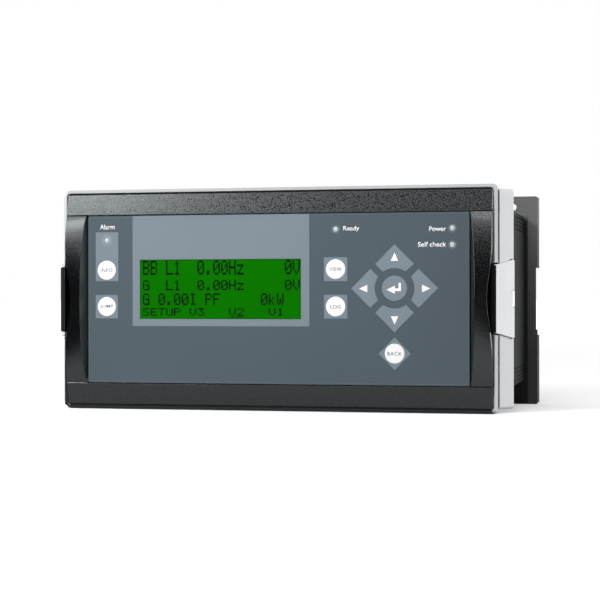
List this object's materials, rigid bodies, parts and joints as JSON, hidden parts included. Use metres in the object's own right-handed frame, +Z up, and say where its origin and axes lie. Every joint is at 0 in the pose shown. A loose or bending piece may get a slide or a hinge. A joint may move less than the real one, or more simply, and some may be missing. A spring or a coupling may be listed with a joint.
{
  "type": "protection relay",
  "caption": "Panel-mounted protection relay with a green text display, arrow keypad, status lamps, side latches, a relay box with screw terminals and a back plate.",
  "frame": {"origin": "middle of the underside, on the surface that the part rests on", "axes": "+X to the right as seen from the front, +Y from the front to the back plate, +Z up"},
  "size_m": [0.255, 0.0944, 0.116],
  "materials": {
    "textured_black": "moulded plastic with a fine grain",
    "smooth_black": "satin black",
    "dark_plate": "dark grey painted sheet",
    "pale_grey": "satin light grey plastic",
    "slate": "printed slate film",
    "blue_grey": "printed blue-grey film",
    "white_key": "white printed key",
    "lamp": "milky light guide",
    "display_green": "green backlit display behind a clear window",
    "rubber": "matte black rubber",
    "board": "green circuit board",
    "connector": "dark moulded plastic",
    "ribbon": "grey flat cable",
    "steel": "zinc plated"
  },
  "bodies": {
    "housing": {"front_tray": "pale_grey", "top_rail": "textured_black", "bottom_rail": "textured_black", "left_cheek": "textured_black", "right_cheek": "textured_black", "front_panel": "slate", "lcd_window": "display_green", "lcd_module": "steel", "keypad_mat": "rubber", "display_board": "board", "display_rear_cover": "smooth_black", "display_socket": "connector", "ribbon_cable": "ribbon", "processor_socket": "connector", "alarm_lamp": "lamp", "ready_lamp": "lamp", "power_lamp": "lamp", "self_check_lamp": "lamp", "panel_gasket": "rubber", "rear_frame": "pale_grey", "left_latch_pin": "steel", "right_latch_pin": "steel", "chassis_box": "smooth_black", "back_plate": "dark_plate", "processor_board": "board", "main_board": "board", "board_pillar_1": "steel", "board_pillar_2": "steel", "board_pillar_3": "steel", "board_pillar_4": "steel", "output_relay_1": "connector", "output_relay_2": "connector", "output_relay_3": "connector", "supply_transformer": "steel", "supply_capacitor": "connector", "top_terminal_block_1": "connector", "top_terminal_block_2": "connector", "top_terminal_block_3": "connector", "bottom_terminal_block_1": "connector", "bottom_terminal_block_2": "connector", "bottom_terminal_block_3": "connector", "box_screw_1": "steel", "box_screw_2": "steel", "box_screw_3": "steel", "box_screw_4": "steel"},
    "info_key": {"info_key": "white_key"},
    "jump_key": {"jump_key": "white_key"},
    "view_key": {"view_key": "white_key"},
    "log_key": {"log_key": "white_key"},
    "back_key": {"back_key": "white_key"},
    "enter_key": {"enter_key": "blue_grey"},
    "up_key": {"up_key": "blue_grey"},
    "down_key": {"down_key": "blue_grey"},
    "left_key": {"left_key": "blue_grey"},
    "right_key": {"right_key": "blue_grey"},
    "left_latch": {"left_latch": "pale_grey", "left_thumb_grip": "rubber"},
    "right_latch": {"right_latch": "pale_grey", "right_thumb_grip": "rubber"}
  },
  "joints": [
    {"name": "info_key_press", "type": "slide", "parent": "housing", "child": "info_key", "axis": [0, 1, 0], "range_m": [0, 0.0005], "stiffness_N_per_m": 1500},
    {"name": "jump_key_press", "type": "slide", "parent": "housing", "child": "jump_key", "axis": [0, 1, 0], "range_m": [0, 0.0005], "stiffness_N_per_m": 1500},
    {"name": "view_key_press", "type": "slide", "parent": "housing", "child": "view_key", "axis": [0, 1, 0], "range_m": [0, 0.0005], "stiffness_N_per_m": 1500},
    {"name": "log_key_press", "type": "slide", "parent": "housing", "child": "log_key", "axis": [0, 1, 0], "range_m": [0, 0.0005], "stiffness_N_per_m": 1500},
    {"name": "back_key_press", "type": "slide", "parent": "housing", "child": "back_key", "axis": [0, 1, 0], "range_m": [0, 0.0005], "stiffness_N_per_m": 1500},
    {"name": "enter_key_press", "type": "slide", "parent": "housing", "child": "enter_key", "axis": [0, 1, 0], "range_m": [0, 0.0005], "stiffness_N_per_m": 1500},
    {"name": "up_key_press", "type": "slide", "parent": "housing", "child": "up_key", "axis": [0, 1, 0], "range_m": [0, 0.0005], "stiffness_N_per_m": 1500},
    {"name": "down_key_press", "type": "slide", "parent": "housing", "child": "down_key", "axis": [0, 1, 0], "range_m": [0, 0.0005], "stiffness_N_per_m": 1500},
    {"name": "left_key_press", "type": "slide", "parent": "housing", "child": "left_key", "axis": [0, 1, 0], "range_m": [0, 0.0005], "stiffness_N_per_m": 1500},
    {"name": "right_key_press", "type": "slide", "parent": "housing", "child": "right_key", "axis": [0, 1, 0], "range_m": [0, 0.0005], "stiffness_N_per_m": 1500},
    {"name": "left_latch_hinge", "type": "hinge", "parent": "housing", "child": "left_latch", "pos_m": [-0.12094, -0.02573, 0.058], "axis": [0, 0, -1], "range_deg": [0, 40]},
    {"name": "right_latch_hinge", "type": "hinge", "parent": "housing", "child": "right_latch", "pos_m": [0.12094, -0.02573, 0.058], "axis": [0, 0, 1], "range_deg": [0, 40]}
  ]
}
